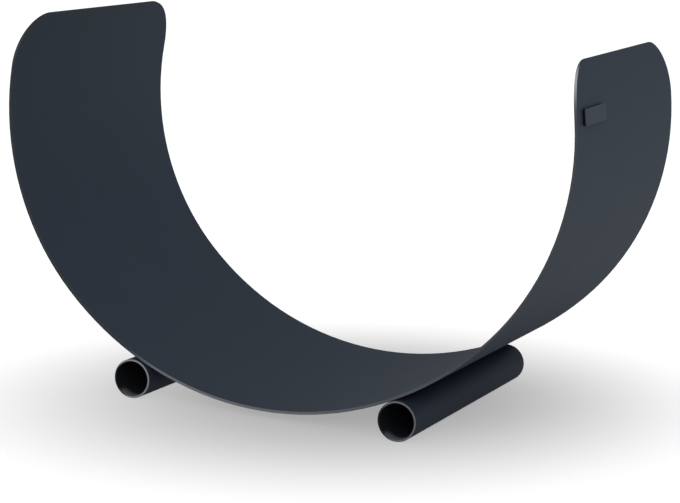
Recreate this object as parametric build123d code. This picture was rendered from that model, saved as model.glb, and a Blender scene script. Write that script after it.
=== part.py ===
from build123d import *
import os
from math import asin, cos, degrees, radians, sin

# Firewood rack: one steel plate rolled into a cradle, welded onto two open round tubes.
# Millimetres. +X to the right, +Y to the rear, +Z up. The origin is on the floor, amid the footprint.

# Rolled plate. Radii and lengths are those of its outer face. The blank's length is the one at its middle;
# each wing is longer at its rear edge than at its front edge by the end's slant.
sheet_thickness = 3.0
sheet_depth = 322.0
blank_length = 1104.0
end_slant = 7.0
bottom_radius = 317.0
side_radius = 270.0
side_starts_at = 45.0
corner_radius = 54.0
edge_easing = 0.6

# Foot tubes, from front to back under the plate
foot_radius = 20.0
foot_wall = 2.0
foot_length = 317.0
foot_spacing = 290.0
foot_proud = 5.0
foot_outer_easing = 1.0
foot_inner_easing = 0.3

# Weld beads, in the cusp on the inner side of each tube
bead_count = 4
bead_length = 30.0
bead_end_margin = 24.0
bead_leg = 12.0
bead_root = 4.0
bead_crown = 0.6
bead_overlap = 0.8

# Badge on the outer face of the right wing, left blank, parallel with the wing's end
badge_length = 63.0
badge_height = 16.0
badge_corner_radius = 2.0
badge_plate_thickness = 0.9
badge_pad_thickness = 2.6
badge_pad_inset = 0.6
badge_edge_easing = 0.25
badge_from_front_edge = 16.0
badge_below_wing_end = 55.0

# Places worked out from the sizes above. Angles are in degrees from straight down, round the arc.
overall_depth = sheet_depth + foot_proud
front = -overall_depth / 2
sheet_front = front + foot_proud
sheet_rear = sheet_front + sheet_depth
sheet_middle = (sheet_front + sheet_rear) / 2
foot_middle = front + foot_length / 2
foot_angle = degrees(asin(foot_spacing / 2 / (bottom_radius + foot_radius)))
bottom_centre_z = (bottom_radius + foot_radius) * cos(radians(foot_angle)) + foot_radius
side_centre_x = (bottom_radius - side_radius) * sin(radians(side_starts_at))
side_centre_z = bottom_centre_z - (bottom_radius - side_radius) * cos(radians(side_starts_at))
bottom_arc_length = bottom_radius * radians(side_starts_at)
wing_end_angle = side_starts_at + degrees((blank_length / 2 - bottom_arc_length) / side_radius)
uncut_end_angle = wing_end_angle + degrees(end_slant / side_radius)


def outward(angle):
    """Direction away from the arc's centre, at an angle from straight down, on the right-hand side."""
    return Vector(sin(radians(angle)), 0, -cos(radians(angle)))


def along(angle):
    """Direction along the arc, towards the right wing's end."""
    return Vector(cos(radians(angle)), 0, sin(radians(angle)))


def on_side(angle, beyond=0.0):
    """A point on the right wing's outer face, or beyond it."""
    return Vector(side_centre_x, 0, side_centre_z) + outward(angle) * (side_radius + beyond)


def on_bottom(angle, beyond=0.0):
    """A point on the bottom arc's outer face, or beyond it."""
    return Vector(0, 0, bottom_centre_z) + outward(angle) * (bottom_radius + beyond)


def profile_arcs(inset):
    """The plate's three tangent arcs, left to right, at an inset from the outer face."""
    section = Plane.XZ
    swing = uncut_end_angle - side_starts_at
    down = -90
    left = CenterArc((-side_centre_x, side_centre_z), side_radius - inset, down - uncut_end_angle, swing)
    bottom = CenterArc((0, bottom_centre_z), bottom_radius - inset, down - side_starts_at, 2 * side_starts_at)
    right = CenterArc((side_centre_x, side_centre_z), side_radius - inset, down + side_starts_at, swing)
    return [section * arc for arc in (left, bottom, right)]


def wing_end_cutter():
    """What is cut off the right wing to give its end a slant and two rounded corners."""
    wing_end = Plane(
        origin=on_side(wing_end_angle) + Vector(0, sheet_middle, 0),
        x_dir=along(wing_end_angle),
        z_dir=-outward(wing_end_angle),
    )
    reach = corner_radius + end_slant
    half_depth = sheet_depth / 2
    outline = Polyline(
        (-reach, -half_depth),
        (-end_slant / 2, -half_depth),
        (end_slant / 2, half_depth),
        (-reach, half_depth),
        close=True,
    )
    kept = make_face(outline)
    kept = fillet(kept.vertices().sort_by(Axis.X)[-2:], corner_radius)
    room = 4 * sheet_thickness
    cut_away = Rectangle(2 * reach, sheet_depth + 2 * room) - kept
    return wing_end * extrude(cut_away, room, both=True)


def bounds_a_face(edge):
    """True for the edges round the plate's faces, not for those across its thickness or between its arcs."""
    is_across = edge.length < 2 * sheet_thickness
    is_between_arcs = edge.geom_type == GeomType.LINE and edge.length > sheet_depth - corner_radius
    return not is_across and not is_between_arcs


def make_cradle_sheet():
    """The rolled plate, with slanted ends, four rounded corners and eased edges."""
    outer = profile_arcs(0)
    inner = profile_arcs(sheet_thickness)
    left_end = Line(outer[0] @ 0, inner[0] @ 0)
    right_end = Line(outer[2] @ 1, inner[2] @ 1)
    section = make_face(Wire([*outer, right_end, *inner, left_end]))
    sheet = Pos(0, sheet_rear, 0) * extrude(section, sheet_depth, dir=(0, -1, 0))
    cutter = wing_end_cutter()
    sheet = sheet - cutter - mirror(cutter, about=Plane.YZ)
    return fillet(sheet.edges().filter_by(bounds_a_face), edge_easing).solid()


def make_foot_tube(side):
    """An open round tube, tangent to the plate from below."""
    lying = Pos(side * foot_spacing / 2, foot_middle, foot_radius) * Rot(90, 0, 0)
    rod = Cylinder(foot_radius, foot_length)
    rod = fillet(rod.edges().filter_by(GeomType.CIRCLE), foot_outer_easing)
    tube = rod - Cylinder(foot_radius - foot_wall, foot_length)
    bore_ends = tube.edges().filter_by(lambda edge: edge.is_closed).sort_by(SortBy.RADIUS)[:2]
    return (lying * fillet(bore_ends, foot_inner_easing)).solid()


def bead_section():
    """Section of the right tube's beads, running a little into the plate and the tube."""
    foot_centre = on_bottom(foot_angle, foot_radius)

    def plate_point(from_contact, depth=0.0):
        return on_bottom(foot_angle - degrees(from_contact / bottom_radius), -depth)

    def tube_point(from_contact, depth=0.0):
        turned = outward(foot_angle + degrees(from_contact / foot_radius))
        return foot_centre - turned * (foot_radius - depth)

    plate_toe = plate_point(bead_leg)
    tube_toe = tube_point(bead_leg)
    face_middle = (plate_toe + tube_toe) / 2
    face_out = (face_middle - on_bottom(foot_angle)).normalized()
    crown = ThreePointArc(plate_toe, face_middle + face_out * bead_crown, tube_toe)
    rest = Polyline(
        tube_toe,
        tube_point(bead_leg, bead_overlap),
        tube_point(bead_root, bead_overlap),
        plate_point(bead_root, bead_overlap),
        plate_point(bead_leg, bead_overlap),
        plate_toe,
    )
    return make_face(Wire([crown, *rest.edges()])), face_middle, face_out


def make_foot_welds(side):
    """Stitches of weld along the inner cusp of one tube. The plate and the tube bound them."""
    section, face_middle, face_out = bead_section()
    plate_body = Pos(0, 0, bottom_centre_z) * Rot(90, 0, 0) * Cylinder(bottom_radius, 2 * sheet_depth)
    tube_body = Pos(foot_spacing / 2, 0, foot_radius) * Rot(90, 0, 0) * Cylinder(foot_radius, 2 * sheet_depth)
    cusp = extrude(section, bead_length / 2, dir=(0, -1, 0), both=True) - plate_body - tube_body
    looking_in = Plane(origin=face_middle, x_dir=(0, 1, 0), z_dir=face_out)
    outline = extrude(looking_in * SlotOverall(bead_length, bead_leg), 2 * bead_leg, both=True)
    bead = cusp & outline
    first = front + bead_end_margin + bead_length / 2
    last = front + foot_length - bead_end_margin - bead_length / 2
    step = (last - first) / (bead_count - 1)
    beads = [(Pos(0, first + i * step, 0) * bead).solid() for i in range(bead_count)]
    if side < 0:
        beads = [mirror(one, about=Plane.YZ) for one in beads]
    return Compound(children=beads)


def badge_frame():
    """Plane at the badge's middle: x to the rear, parallel with the wing's end, z away from the wing."""
    badge_angle = wing_end_angle - degrees(badge_below_wing_end / side_radius)
    middle_y = sheet_front + badge_from_front_edge + badge_length / 2
    return Plane(
        origin=on_side(badge_angle) + Vector(0, middle_y, 0),
        x_dir=Vector(0, sheet_depth, 0) + along(badge_angle) * end_slant,
        z_dir=outward(badge_angle),
    )


def make_badge_plate():
    """The thin blank plate, on top of its pad."""
    outline = RectangleRounded(badge_length, badge_height, badge_corner_radius)
    plate = Pos(0, 0, badge_pad_thickness) * extrude(outline, badge_plate_thickness)
    plate = fillet(plate.edges().group_by(Axis.Z)[-1], badge_edge_easing)
    return (badge_frame() * plate).solid()


def make_badge_pad():
    """The dark pad under the plate. Its inner face follows the wing's curve."""
    outline = RectangleRounded(
        badge_length - 2 * badge_pad_inset, badge_height - 2 * badge_pad_inset, badge_corner_radius
    )
    into_wing = sheet_thickness / 2
    block = Pos(0, 0, -into_wing) * extrude(outline, badge_pad_thickness + into_wing)
    wing_body = Pos(side_centre_x, 0, side_centre_z) * Rot(90, 0, 0) * Cylinder(side_radius, 2 * sheet_depth)
    return (badge_frame() * block - wing_body).solid()


def main():
    parts = {
        "cradle_sheet": make_cradle_sheet(),
        "foot_tube_left": make_foot_tube(-1),
        "foot_tube_right": make_foot_tube(1),
        "foot_welds_left": make_foot_welds(-1),
        "foot_welds_right": make_foot_welds(1),
        "badge_plate": make_badge_plate(),
        "badge_pad": make_badge_pad(),
    }
    os.makedirs("parts", exist_ok=True)
    for name, shape in parts.items():
        shape.label = name
        export_step(shape, f"parts/{name}.step")
        print(name, shape.bounding_box())


main()
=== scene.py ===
from math import asin, cos, pi, radians, sin

import bmesh
import bpy
from mathutils import Matrix, Vector


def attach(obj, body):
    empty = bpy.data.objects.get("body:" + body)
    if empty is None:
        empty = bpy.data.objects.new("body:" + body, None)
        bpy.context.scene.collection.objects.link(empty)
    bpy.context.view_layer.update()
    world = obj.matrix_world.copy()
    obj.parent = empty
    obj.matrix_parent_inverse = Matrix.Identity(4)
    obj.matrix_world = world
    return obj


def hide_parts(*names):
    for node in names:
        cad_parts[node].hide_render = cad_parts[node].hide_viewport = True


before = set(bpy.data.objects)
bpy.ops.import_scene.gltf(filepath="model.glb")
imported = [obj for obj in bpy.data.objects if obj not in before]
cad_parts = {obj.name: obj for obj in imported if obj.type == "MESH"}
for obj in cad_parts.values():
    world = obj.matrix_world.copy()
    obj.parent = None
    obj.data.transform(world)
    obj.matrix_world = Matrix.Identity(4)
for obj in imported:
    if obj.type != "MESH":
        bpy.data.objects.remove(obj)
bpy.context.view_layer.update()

# Firewood rack: a rolled steel plate on two open tubes, powder coated anthracite.
# Metres: +X along the rack's length to the right, +Y from front to rear, +Z up.

MM = 0.001

# The photograph's view, with angles in degrees. The optical axis meets the picture left of its middle.
CAMERA_AZIMUTH = 24.256
CAMERA_ELEVATION = 9.937
CAMERA_ROLL = 3.013
CAMERA_DISTANCE = 2.2987
CAMERA_TARGET = Vector((-0.0405, 0.0025, 0.1408))
SENSOR_WIDTH_MM = 36.0
LENS_MM = 115.65
PICTURE_WIDTH = 680
OPTICAL_AXIS_X = 300

# The rack's own places: the bottom arc's axis and outer radius, and the tubes. The plate's middle axis
# lies a little lower than the bottom arc's, so that all three of its arcs run nearly round it.
PLATE_AXIS = Vector((0, 0, 0.32421))
PLATE_MIDDLE_AXIS_Z = PLATE_AXIS.z - 0.02
PLATE_RADIUS = 0.317
TUBE_AXIS_X = 0.145
TUBE_AXIS_Z = 0.020
TUBE_RADIUS = 0.020
TUBE_WALL = 0.002
TUBE_FRONT = -0.1635
TUBE_REAR = 0.1535
TUBE_MIDDLE = (TUBE_FRONT + TUBE_REAR) / 2
TO_FRONT = (0.0, -1.0, 0.0)

# Colours, as linear reflectances
COAT_COLOUR = (0.0267, 0.0361, 0.0490)
# The tubes' colour is the plate's powder coat painted darker, as the shade under the plate
TUBE_SHADED_COLOUR = (0.0125, 0.0175, 0.0265)
# Painted shade inside the bores, and painted light on the bores' floors near the mouths
BORE_SHADE_COLOUR = (0.0050, 0.0056, 0.0070)
BORE_LIGHT_COLOUR = (0.0760, 0.0785, 0.0840)
BADGE_COLOUR = (0.0235, 0.0340, 0.0460)
FOAM_COLOUR = (0.0012, 0.0013, 0.0016)

# Noise: its features per metre, its levels of detail, and how rough these are. A tone is at its darkest
# up to one value of its noise, and at its lightest from another.
DRIFT_NOISE = (9.0, 3.0, 0.55)
PEEL_NOISE = (520.0, 2.0, 0.5)
GRAIN_NOISE = (2600.0, 1.0, 0.5)
BRUSH_NOISE = (4200.0, 3.0, 0.6)
NOISE_RANGE = (0.3, 0.7)

# Powder coat. Its specular level is its reflectance at right angles, as a share of 8 percent. Its tone
# and roughness drift slowly over it. Its relief is an orange peel with a finer grain.
COAT_SPECULAR = 0.12
COAT_ROUGHNESS = 0.55
WELD_ROUGHNESS = 0.45
TONE_DRIFT = 0.05
ROUGHNESS_DRIFT = 0.04
GRAIN_SHARE = 0.35
COAT_RELIEF_STRENGTH = 0.3
COAT_RELIEF_DEPTH = 0.06 * MM

# Where a face turns into a cut edge or a rim: how squarely the surface faces the way out from the axis,
# as cosines, where it is wholly edge and where wholly face. The coat is a little smoother on the edge.
PLATE_EDGE_TURNS = (0.55, 0.85)
TUBE_RIM_TURNS = (0.80, 0.97)
EDGE_SMOOTHER = 0.12

# Painted highlights and shade along the plate's front edge, from the left wing's end to the right wing's:
# the angle from straight down towards the right, in degrees, and how light the edge is painted there. The
# other cut edges have one painted shade. The painted front edge begins and is all there at two cosines of
# how squarely an edge faces the front.
EDGE_TINT = (1.03, 0.99, 1.05)
EDGE_HIGHLIGHTS = (
    (-110, 0.020),
    (-32, 0.020),
    (-24, 0.092),
    (0, 0.092),
    (30, 0.055),
    (48, 0.036),
    (95, 0.036),
    (101, 0.250),
)
EDGE_PAINTED_SHADE = 0.018
FRONT_EDGE_TURNS = (0.3, 0.7)

# The painted highlight on a tube's rim: where its middle lies round the rim, in degrees from the right
# upwards, at which cosines of the angle from there it begins and is all there, and how light it is on the
# left and on the right tube. The rest of the rim has one painted shade.
RIM_HIGHLIGHT_ANGLE = 15
RIM_HIGHLIGHT_FADES = (-0.75, -0.35)
RIM_HIGHLIGHT = {-1: 0.135, 1: 0.078}
RIM_PAINTED_SHADE = 0.006

# The bore's near-black tone, painted shade inside the tube, is all there up to one depth into the tube's
# wall and gone at another.
# Painted light lies on the bore's floor near each mouth: all there up to one height over the tube's axis
# and gone at another, in radii, and gone at one distance from a mouth and all there at another.
BORE_SKIN = (0.1 * MM, 0.4 * MM)
BORE_ROUGHER = 0.25
BORE_LIGHT_HEIGHTS = (-0.90, -0.60)
BORE_LIGHT_FROM_MOUTH = (16 * MM, 4 * MM)

# Badge plate: satin, with a fine brushed grain along its length
BADGE_SPECULAR = 0.2
BADGE_ROUGHNESS = (0.42, 0.55)
BADGE_TONE_DRIFT = 0.1
BRUSH_STRETCH = (1, 0.04, 1)
BRUSH_RELIEF_STRENGTH = 0.2
BRUSH_RELIEF_DEPTH = 0.02 * MM

# Badge pad: matt foam with small pores, whose middles are painted darker as shade
FOAM_SPECULAR = 0.1
FOAM_ROUGHNESS = 0.95
PORES_PER_METRE = 2400.0
PORE_SHADE_TONES = (0.5, 1.5)
PORE_EDGES = (0.1, 0.5)
PORE_RELIEF_STRENGTH = 0.5
PORE_RELIEF_DEPTH = 0.1 * MM

# Weld stitches, in the place and of about the size of the CAD pieces that they stand for. A bead's toes
# lie a leg away from the contact of plate and tube, and its hidden back begins at the root. Over the
# length of an end's round the face narrows to an end face. The overlap lies inside plate and tube.
WELD_COUNT = 4
WELD_LENGTH = 0.030
WELD_END_MARGIN = 0.024
WELD_LEG = 0.0118
WELD_ROOT = 0.0042
WELD_CROWN = 0.0004
WELD_OVERLAP = 0.0004
WELD_END_FACE = 0.0006
WELD_END_ROUND = 0.4 * WELD_LEG
RIPPLE_PITCH = 0.0021
RIPPLE_HEIGHT = 0.00028
RIPPLE_BOW = 0.0016
WELD_STATIONS = 120
WELD_ACROSS = 12
SEEDS_BETWEEN_SIDES = 5

# How a bead's toes wander: each wave's reach, its radians per metre along the bead, and how many times
# the bead's seed is added to its angle
WELD_WANDER = ((0.00035, 900, 1), (0.0002, 2300, 2))

# Soft lights in the surround, each with its azimuth from the front towards the right, its elevation,
# the angles where its even middle ends and where it has faded out, and its strength. Angles in degrees.
SKY_LIGHTS = (
    (0, 20, 10, 45, 3.05),
    (40, 20, 10, 45, 1.36),
    (120, -30, 10, 60, 0.70),
    (-90, 20, 10, 60, 0.60),
    (180, 45, 10, 75, 0.16),
)
SKY_FILL = 0.18
SKY_TINT = (0.95, 0.99, 1.06)
WHITE_BEHIND = 1.1

# The floor is a faint grey patch, painted as a soft shadow round the rack. It fades out in an ellipse, of
# this middle, turn and half lengths, from a share of the way to the ellipse's edge. Its square reaches
# beyond the ellipse by a margin.
FLOOR_SHADOW_COLOUR = (0.195, 0.188, 0.176)
FLOOR_ROUGHNESS = 0.9
FLOOR_OPACITY = 0.67
FLOOR_MIDDLE = (0.036, -0.027)
FLOOR_TURN = -24
FLOOR_REACH = (0.49, 0.61)
FLOOR_FADES_FROM = 0.04
FLOOR_MARGIN = 0.05


def direction(azimuth, elevation):
    """A way from the rack. The azimuth goes from the front towards the right. Angles in degrees."""
    a, e = radians(azimuth), radians(elevation)
    return sin(a) * cos(e), -cos(a) * cos(e), sin(e)


def outward(angle):
    """Direction away from an axis along Y, at an angle in radians from straight down."""
    return Vector((sin(angle), 0, -cos(angle)))


def shade(colour, factor):
    """The colour, lighter or darker, with its alpha."""
    return (*[c * factor for c in colour], 1)


def grey(value):
    """A grey with the slight tint of the edges."""
    return shade(EDGE_TINT, value)


def add_node(tree, kind, **settings):
    """A shader node. A setting is a property of the node, or the value of an input of that name."""
    node = tree.nodes.new(kind)
    for name, value in settings.items():
        if hasattr(node, name):
            setattr(node, name, value)
        else:
            node.inputs[name].default_value = value
    return node


def new_material(name):
    """A new material, its node tree and its principled shader."""
    material = bpy.data.materials.new(name)
    material.use_nodes = True
    tree = material.node_tree
    return material, tree, tree.nodes["Principled BSDF"]


def calculate(tree, operation, first, second=None):
    """A maths node on sockets or numbers."""
    node = add_node(tree, "ShaderNodeMath", operation=operation)
    for index, value in enumerate((first, second)):
        if isinstance(value, (int, float)):
            node.inputs[index].default_value = value
        elif value is not None:
            tree.links.new(value, node.inputs[index])
    return node.outputs[0]


def dot(tree, first, second):
    """How closely two directions agree, from -1 to 1. The second one is a socket or a vector."""
    node = add_node(tree, "ShaderNodeVectorMath", operation="DOT_PRODUCT")
    tree.links.new(first, node.inputs[0])
    if isinstance(second, tuple):
        node.inputs[1].default_value = second
    else:
        tree.links.new(second, node.inputs[1])
    return node.outputs["Value"]


def component(tree, vector, axis):
    """The X, Y or Z of a vector."""
    node = add_node(tree, "ShaderNodeSeparateXYZ")
    tree.links.new(vector, node.inputs[0])
    return node.outputs[axis]


def from_axis(tree, point, x, z):
    """How far a point is from a line that runs along Y, and the way out from the line to the point."""
    flat = add_node(tree, "ShaderNodeVectorMath", operation="MULTIPLY_ADD")
    flat.inputs[1].default_value = (1, 0, 1)
    flat.inputs[2].default_value = (-x, 0, -z)
    tree.links.new(point, flat.inputs[0])
    length = add_node(tree, "ShaderNodeVectorMath", operation="LENGTH")
    tree.links.new(flat.outputs["Vector"], length.inputs[0])
    way_out = add_node(tree, "ShaderNodeVectorMath", operation="NORMALIZE")
    tree.links.new(flat.outputs["Vector"], way_out.inputs[0])
    return length.outputs["Value"], way_out.outputs["Vector"]


def blend_value(tree, factor, low, high, start=0.0, end=1.0, kind="SMOOTHSTEP"):
    """A number that goes smoothly from low to high as the factor goes from start to end."""
    node = add_node(tree, "ShaderNodeMapRange", interpolation_type=kind)
    node.inputs["From Min"].default_value = start
    node.inputs["From Max"].default_value = end
    node.inputs["To Min"].default_value = low
    node.inputs["To Max"].default_value = high
    tree.links.new(factor, node.inputs["Value"])
    return node.outputs["Result"]


def blend_colour(tree, factor, low, high):
    """A colour that goes from low to high with the factor. Each is a socket or a colour."""
    node = add_node(tree, "ShaderNodeMix", data_type="RGBA")
    tree.links.new(factor, node.inputs["Factor"])
    for name, colour in (("A", low), ("B", high)):
        socket = next(i for i in node.inputs if i.name == name and i.type == "RGBA")
        if isinstance(colour, tuple):
            socket.default_value = colour
        else:
            tree.links.new(colour, socket)
    return next(o for o in node.outputs if o.type == "RGBA")


def ramp(tree, factor, stops, interpolation="LINEAR"):
    """A colour that goes with the factor through stops, each of them a place from 0 to 1 and a colour."""
    node = add_node(tree, "ShaderNodeValToRGB")
    elements = node.color_ramp.elements
    for index, (place, colour) in enumerate(stops):
        element = elements[0] if index == 0 else elements.new(place)
        element.position = place
        element.color = colour
    elements.remove(elements[-1])
    node.color_ramp.interpolation = interpolation
    tree.links.new(factor, node.inputs["Fac"])
    return node.outputs["Color"]


def noise(tree, point, per_metre, detail, roughness):
    """A cloudy random field, from 0 to 1."""
    node = add_node(tree, "ShaderNodeTexNoise", Scale=per_metre, Detail=detail, Roughness=roughness)
    tree.links.new(point, node.inputs["Vector"])
    return node.outputs["Fac"]


def noise_tone(tree, field, colour, drift):
    """The colour, darker and lighter by a share of itself with a noise field."""
    darkest, lightest = NOISE_RANGE
    stops = ((darkest, shade(colour, 1 - drift)), (lightest, shade(colour, 1 + drift)))
    return ramp(tree, field, stops)


def add_relief(tree, shader, height, strength, depth):
    """Fine relief on a shader."""
    relief = add_node(tree, "ShaderNodeBump", Strength=strength, Distance=depth)
    tree.links.new(height, relief.inputs["Height"])
    tree.links.new(relief.outputs["Normal"], shader.inputs["Normal"])


def coat_surface(name, colour, roughness):
    """Matt powder coat with its relief. A finish still links its tone and its roughness to the shader.
    Returns the material, tree, shader and coordinates, and the sockets of the tone and the roughness."""
    material, tree, shader = new_material(name)
    shader.inputs["Specular IOR Level"].default_value = COAT_SPECULAR
    place = add_node(tree, "ShaderNodeTexCoord")
    point = place.outputs["Object"]

    drift = noise(tree, point, *DRIFT_NOISE)
    tone = noise_tone(tree, drift, colour, TONE_DRIFT)
    rough = blend_value(tree, drift, roughness - ROUGHNESS_DRIFT, roughness + ROUGHNESS_DRIFT)

    peel = noise(tree, point, *PEEL_NOISE)
    grain = noise(tree, point, *GRAIN_NOISE)
    height = calculate(tree, "ADD", peel, calculate(tree, "MULTIPLY", grain, GRAIN_SHARE))
    add_relief(tree, shader, height, COAT_RELIEF_STRENGTH, COAT_RELIEF_DEPTH)
    return material, tree, shader, place, tone, rough


def front_edge_highlights(tree, way_out):
    """The painted highlights and shade of the plate's front edge, by its place round the plate's middle
    axis.
    """
    up = component(tree, way_out, "Z")
    to_the_right = component(tree, way_out, "X")
    angle = calculate(tree, "ARCTAN2", to_the_right, calculate(tree, "MULTIPLY", up, -1.0))
    share_of_turn = calculate(tree, "ADD", calculate(tree, "DIVIDE", angle, 2 * pi), 0.5)
    stops = [(degrees_round / 360 + 0.5, grey(light)) for degrees_round, light in EDGE_HIGHLIGHTS]
    return ramp(tree, share_of_turn, stops, "EASE")


def plate_finish():
    """Powder coat on the rolled plate. Its cut edges are painted darker as shade, and lighter along the
    front as painted highlights.
    """
    material, tree, shader, place, tone, rough = coat_surface("plate_coat", COAT_COLOUR, COAT_ROUGHNESS)
    point, normal = place.outputs["Object"], place.outputs["Normal"]
    _, way_out = from_axis(tree, point, 0, PLATE_MIDDLE_AXIS_Z)
    squareness = calculate(tree, "ABSOLUTE", dot(tree, normal, way_out))
    edge = blend_value(tree, squareness, 1, 0, *PLATE_EDGE_TURNS)
    at_front = blend_value(tree, dot(tree, normal, TO_FRONT), 0, 1, *FRONT_EDGE_TURNS)
    # The cut edges are painted darker as shade, and the front edge lighter as painted highlights
    edge_colour = blend_colour(tree, at_front, grey(EDGE_PAINTED_SHADE), front_edge_highlights(tree, way_out))
    smoother = calculate(tree, "MULTIPLY", edge, EDGE_SMOOTHER)
    tree.links.new(blend_colour(tree, edge, tone, edge_colour), shader.inputs["Base Color"])
    tree.links.new(calculate(tree, "SUBTRACT", rough, smoother), shader.inputs["Roughness"])
    return material


def tube_finish(side):
    """Powder coat, painted darker as shade, outside and over the ends, with a painted highlight on part of
    each rim and painted shade on the rest, and a bore painted near black as shade, with painted light on
    its floor near the mouths.
    """
    name = "tube_coat_left" if side < 0 else "tube_coat_right"
    material, tree, shader, place, tone, rough = coat_surface(name, TUBE_SHADED_COLOUR, COAT_ROUGHNESS)
    point, normal = place.outputs["Object"], place.outputs["Normal"]
    radius, way_out = from_axis(tree, point, side * TUBE_AXIS_X, TUBE_AXIS_Z)

    # Part of each rim is painted lighter as a highlight, and the rest darker as shade
    highlight_middle = radians(RIM_HIGHLIGHT_ANGLE)
    round_rim = dot(tree, way_out, (cos(highlight_middle), 0, sin(highlight_middle)))
    rim_lit = blend_value(tree, round_rim, 0, 1, *RIM_HIGHLIGHT_FADES)
    rim_colour = blend_colour(tree, rim_lit, grey(RIM_PAINTED_SHADE), grey(RIM_HIGHLIGHT[side]))
    squareness = calculate(tree, "ABSOLUTE", dot(tree, normal, way_out))
    rim = blend_value(tree, squareness, 1, 0, *TUBE_RIM_TURNS)
    outside = blend_colour(tree, rim, tone, rim_colour)

    # Painted light on the bore's floor near each mouth, where light falls in
    on_floor = blend_value(tree, component(tree, way_out, "Z"), 1, 0, *BORE_LIGHT_HEIGHTS)
    from_middle = calculate(tree, "SUBTRACT", component(tree, point, "Y"), TUBE_MIDDLE)
    light_from, light_to = [TUBE_REAR - TUBE_MIDDLE - distance for distance in BORE_LIGHT_FROM_MOUTH]
    near_mouth = blend_value(tree, calculate(tree, "ABSOLUTE", from_middle), 0, 1, light_from, light_to)
    lit_bore_floor = calculate(tree, "MULTIPLY", on_floor, near_mouth)
    bore_colour = blend_colour(tree, lit_bore_floor, (*BORE_SHADE_COLOUR, 1), (*BORE_LIGHT_COLOUR, 1))

    # The bore is painted near black, as the shade inside the tube
    bore_from, bore_to = [TUBE_RADIUS - TUBE_WALL + depth for depth in BORE_SKIN]
    bore = blend_value(tree, radius, 1, 0, bore_from, bore_to)
    rougher = calculate(tree, "MULTIPLY", bore, BORE_ROUGHER)
    tree.links.new(blend_colour(tree, bore, outside, bore_colour), shader.inputs["Base Color"])
    tree.links.new(calculate(tree, "ADD", rough, rougher), shader.inputs["Roughness"])
    return material


def weld_finish():
    """The tubes' powder coat, painted darker as shade, on the weld beads, which have no cut edges."""
    material, tree, shader, _, tone, rough = coat_surface("weld_coat", TUBE_SHADED_COLOUR, WELD_ROUGHNESS)
    tree.links.new(tone, shader.inputs["Base Color"])
    tree.links.new(rough, shader.inputs["Roughness"])
    return material


def badge_finish():
    """Satin grey plate, left blank."""
    material, tree, shader = new_material("badge_satin")
    shader.inputs["Specular IOR Level"].default_value = BADGE_SPECULAR
    place = add_node(tree, "ShaderNodeTexCoord")
    stretch = add_node(tree, "ShaderNodeMapping", Scale=BRUSH_STRETCH)
    tree.links.new(place.outputs["Object"], stretch.inputs["Vector"])
    brush = noise(tree, stretch.outputs["Vector"], *BRUSH_NOISE)
    tone = noise_tone(tree, brush, BADGE_COLOUR, BADGE_TONE_DRIFT)
    tree.links.new(tone, shader.inputs["Base Color"])
    tree.links.new(blend_value(tree, brush, *BADGE_ROUGHNESS), shader.inputs["Roughness"])
    add_relief(tree, shader, brush, BRUSH_RELIEF_STRENGTH, BRUSH_RELIEF_DEPTH)
    return material


def foam_finish():
    """Matt black closed-cell foam."""
    material, tree, shader = new_material("badge_foam")
    shader.inputs["Specular IOR Level"].default_value = FOAM_SPECULAR
    shader.inputs["Roughness"].default_value = FOAM_ROUGHNESS
    place = add_node(tree, "ShaderNodeTexCoord")
    pores = add_node(tree, "ShaderNodeTexVoronoi", Scale=PORES_PER_METRE)
    tree.links.new(place.outputs["Object"], pores.inputs["Vector"])
    from_pore = pores.outputs["Distance"]
    # The pores' middles are painted darker, as shade
    stops = [(edge, shade(FOAM_COLOUR, tone)) for edge, tone in zip(PORE_EDGES, PORE_SHADE_TONES)]
    tree.links.new(ramp(tree, from_pore, stops), shader.inputs["Base Color"])
    add_relief(tree, shader, from_pore, PORE_RELIEF_STRENGTH, PORE_RELIEF_DEPTH)
    return material


def dress(node, material):
    """Gives a piece of the CAD model its finish."""
    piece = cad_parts[node]
    piece.data.materials.clear()
    piece.data.materials.append(material)


def weld_ring(along, leg, crown, seed):
    """One section of a bead on the right tube: its face from plate to tube, then back inside both."""
    contact = asin(TUBE_AXIS_X / (PLATE_RADIUS + TUBE_RADIUS))
    contact_point = PLATE_AXIS + outward(contact) * PLATE_RADIUS
    tube_axis = PLATE_AXIS + outward(contact) * (PLATE_RADIUS + TUBE_RADIUS)

    def on_plate(distance, depth):
        return PLATE_AXIS + outward(contact - distance / PLATE_RADIUS) * (PLATE_RADIUS - depth)

    def on_tube(distance, depth):
        return tube_axis - outward(contact + distance / TUBE_RADIUS) * (TUBE_RADIUS - depth)

    wander = sum(reach * sin(along * rate + times * seed) for reach, rate, times in WELD_WANDER)
    plate_toe = on_plate(leg + wander, 0)
    tube_toe = on_tube(leg - wander, 0)
    face_out = ((plate_toe + tube_toe) / 2 - contact_point).normalized()
    ring = []
    for i in range(WELD_ACROSS + 1):
        across = i / WELD_ACROSS
        middle = 4 * across * (1 - across)
        phase = 2 * pi * (along + RIPPLE_BOW * middle) / RIPPLE_PITCH
        ripple = RIPPLE_HEIGHT * (abs(cos(phase / 2)) - 0.5) * middle ** 0.5
        ring.append(plate_toe.lerp(tube_toe, across) + face_out * (crown * middle + ripple))
    ring.append(on_tube(leg - wander, WELD_OVERLAP))
    ring.append(on_tube(WELD_ROOT, WELD_OVERLAP))
    ring.append(on_plate(WELD_ROOT, WELD_OVERLAP))
    ring.append(on_plate(leg + wander, WELD_OVERLAP))
    return ring


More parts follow.
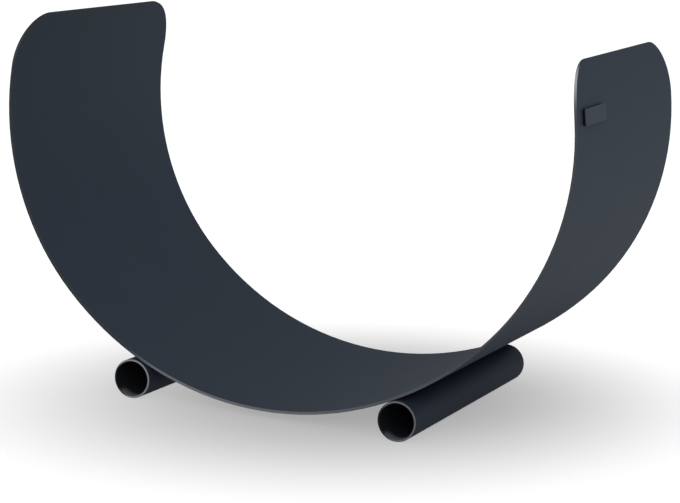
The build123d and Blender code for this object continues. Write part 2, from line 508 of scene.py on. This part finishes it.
def add_weld_beads(label, side, material):
    """The stitches of one tube, with the ripples that the welder's puddle leaves."""
    first = TUBE_FRONT + WELD_END_MARGIN + WELD_LENGTH / 2
    last = TUBE_REAR - WELD_END_MARGIN - WELD_LENGTH / 2
    mesh = bmesh.new()
    for stitch in range(WELD_COUNT):
        centre = first + (last - first) * stitch / (WELD_COUNT - 1)
        seed = stitch + SEEDS_BETWEEN_SIDES * side
        rings = []
        for station in range(WELD_STATIONS + 1):
            along = WELD_LENGTH * (station / WELD_STATIONS - 0.5)
            from_end = WELD_LENGTH / 2 - abs(along)
            taper = min(1, from_end / WELD_END_ROUND)
            fullness = (1 - (1 - taper) ** 2) ** 0.5
            leg = WELD_ROOT + WELD_END_FACE + (WELD_LEG - WELD_ROOT - WELD_END_FACE) * fullness
            points = weld_ring(along, leg, WELD_CROWN * fullness, seed)
            rings.append([mesh.verts.new((side * p.x, centre + along, p.z)) for p in points])
        count = len(rings[0])
        for one, two in zip(rings, rings[1:]):
            for i in range(count):
                j = (i + 1) % count
                mesh.faces.new((one[i], one[j], two[j], two[i]))
        mesh.faces.new(rings[0])
        mesh.faces.new(rings[-1])
    bmesh.ops.recalc_face_normals(mesh, faces=mesh.faces)
    for face in mesh.faces:
        face.smooth = True
    data = bpy.data.meshes.new(f"weld_beads_{label}")
    mesh.to_mesh(data)
    mesh.free()
    data.materials.append(material)
    beads = bpy.data.objects.new(f"weld_beads_{label}", data)
    bpy.context.scene.collection.objects.link(beads)
    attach(beads, "root")
    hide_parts(f"foot_welds_{label}")


def add_camera():
    """The photograph's camera."""
    azimuth, roll = radians(CAMERA_AZIMUTH), radians(CAMERA_ROLL)
    back = Vector(direction(CAMERA_AZIMUTH, CAMERA_ELEVATION))
    level = Vector((cos(azimuth), sin(azimuth), 0))
    upright = back.cross(level)
    right = cos(roll) * level + sin(roll) * upright
    up = cos(roll) * upright - sin(roll) * level
    data = bpy.data.cameras.new("camera")
    data.sensor_width = SENSOR_WIDTH_MM
    data.lens = LENS_MM
    data.shift_x = (PICTURE_WIDTH / 2 - OPTICAL_AXIS_X) / PICTURE_WIDTH
    camera = bpy.data.objects.new("camera", data)
    bpy.context.scene.collection.objects.link(camera)
    turn = Matrix((right, up, back)).transposed().to_4x4()
    camera.matrix_world = Matrix.Translation(CAMERA_TARGET + back * CAMERA_DISTANCE) @ turn
    bpy.context.scene.camera = camera


def add_floor():
    """A faint grey floor under the rack, painted as a soft shadow, which fades into the white surround."""
    half = max(FLOOR_REACH) + FLOOR_MARGIN
    mesh = bpy.data.meshes.new("floor")
    corners = [(-half, -half, 0), (half, -half, 0), (half, half, 0), (-half, half, 0)]
    mesh.from_pydata(corners, [], [(0, 1, 2, 3)])
    floor = bpy.data.objects.new("floor", mesh)
    bpy.context.scene.collection.objects.link(floor)
    material, tree, shader = new_material("floor")
    link = tree.links.new
    # The grey is a painted soft shadow round the rack
    shader.inputs["Base Color"].default_value = (*FLOOR_SHADOW_COLOUR, 1)
    shader.inputs["Roughness"].default_value = FLOOR_ROUGHNESS
    shader.inputs["Specular IOR Level"].default_value = 0.0
    place = add_node(tree, "ShaderNodeTexCoord")
    patch = add_node(tree, "ShaderNodeMapping", vector_type="TEXTURE")
    patch.inputs["Location"].default_value = (*FLOOR_MIDDLE, 0)
    patch.inputs["Rotation"].default_value = (0, 0, radians(FLOOR_TURN))
    patch.inputs["Scale"].default_value = (*FLOOR_REACH, 1)
    link(place.outputs["Object"], patch.inputs["Vector"])
    from_middle = add_node(tree, "ShaderNodeVectorMath", operation="LENGTH")
    link(patch.outputs["Vector"], from_middle.inputs[0])
    share_out = from_middle.outputs["Value"]
    gone = blend_value(tree, share_out, 1 - FLOOR_OPACITY, 1, FLOOR_FADES_FROM, 1, "SMOOTHERSTEP")
    clear = add_node(tree, "ShaderNodeBsdfTransparent")
    mix = add_node(tree, "ShaderNodeMixShader")
    link(gone, mix.inputs["Fac"])
    link(shader.outputs["BSDF"], mix.inputs[1])
    link(clear.outputs["BSDF"], mix.inputs[2])
    link(mix.outputs["Shader"], tree.nodes["Material Output"].inputs["Surface"])
    mesh.materials.append(material)


def add_world():
    """White behind the object, and for its light an even fill with a few wide soft lights."""
    world = bpy.data.worlds.new("studio")
    bpy.context.scene.world = world
    world.use_nodes = True
    tree = world.node_tree
    link = tree.links.new
    tree.nodes.clear()
    out = add_node(tree, "ShaderNodeOutputWorld")
    seen = add_node(tree, "ShaderNodeBackground", Color=(1, 1, 1, 1), Strength=WHITE_BEHIND)
    light = add_node(tree, "ShaderNodeBackground", Color=(*SKY_TINT, 1))
    place = add_node(tree, "ShaderNodeTexCoord")
    total = SKY_FILL
    for azimuth, elevation, inner, outer, strength in SKY_LIGHTS:
        towards = dot(tree, place.outputs["Generated"], direction(azimuth, elevation))
        faded, even = cos(radians(outer)), cos(radians(inner))
        total = calculate(tree, "ADD", total, blend_value(tree, towards, 0, strength, faded, even))
    link(total, light.inputs["Strength"])
    path = add_node(tree, "ShaderNodeLightPath")
    mix = add_node(tree, "ShaderNodeMixShader")
    link(path.outputs["Is Camera Ray"], mix.inputs["Fac"])
    link(light.outputs[0], mix.inputs[1])
    link(seen.outputs[0], mix.inputs[2])
    link(mix.outputs[0], out.inputs["Surface"])


dress("cradle_sheet", plate_finish())
dress("foot_tube_left", tube_finish(-1))
dress("foot_tube_right", tube_finish(1))
weld_coat = weld_finish()
add_weld_beads("left", -1, weld_coat)
add_weld_beads("right", 1, weld_coat)
dress("badge_plate", badge_finish())
dress("badge_pad", foam_finish())

add_camera()
add_floor()
add_world()
bpy.context.scene.view_settings.view_transform = "Standard"
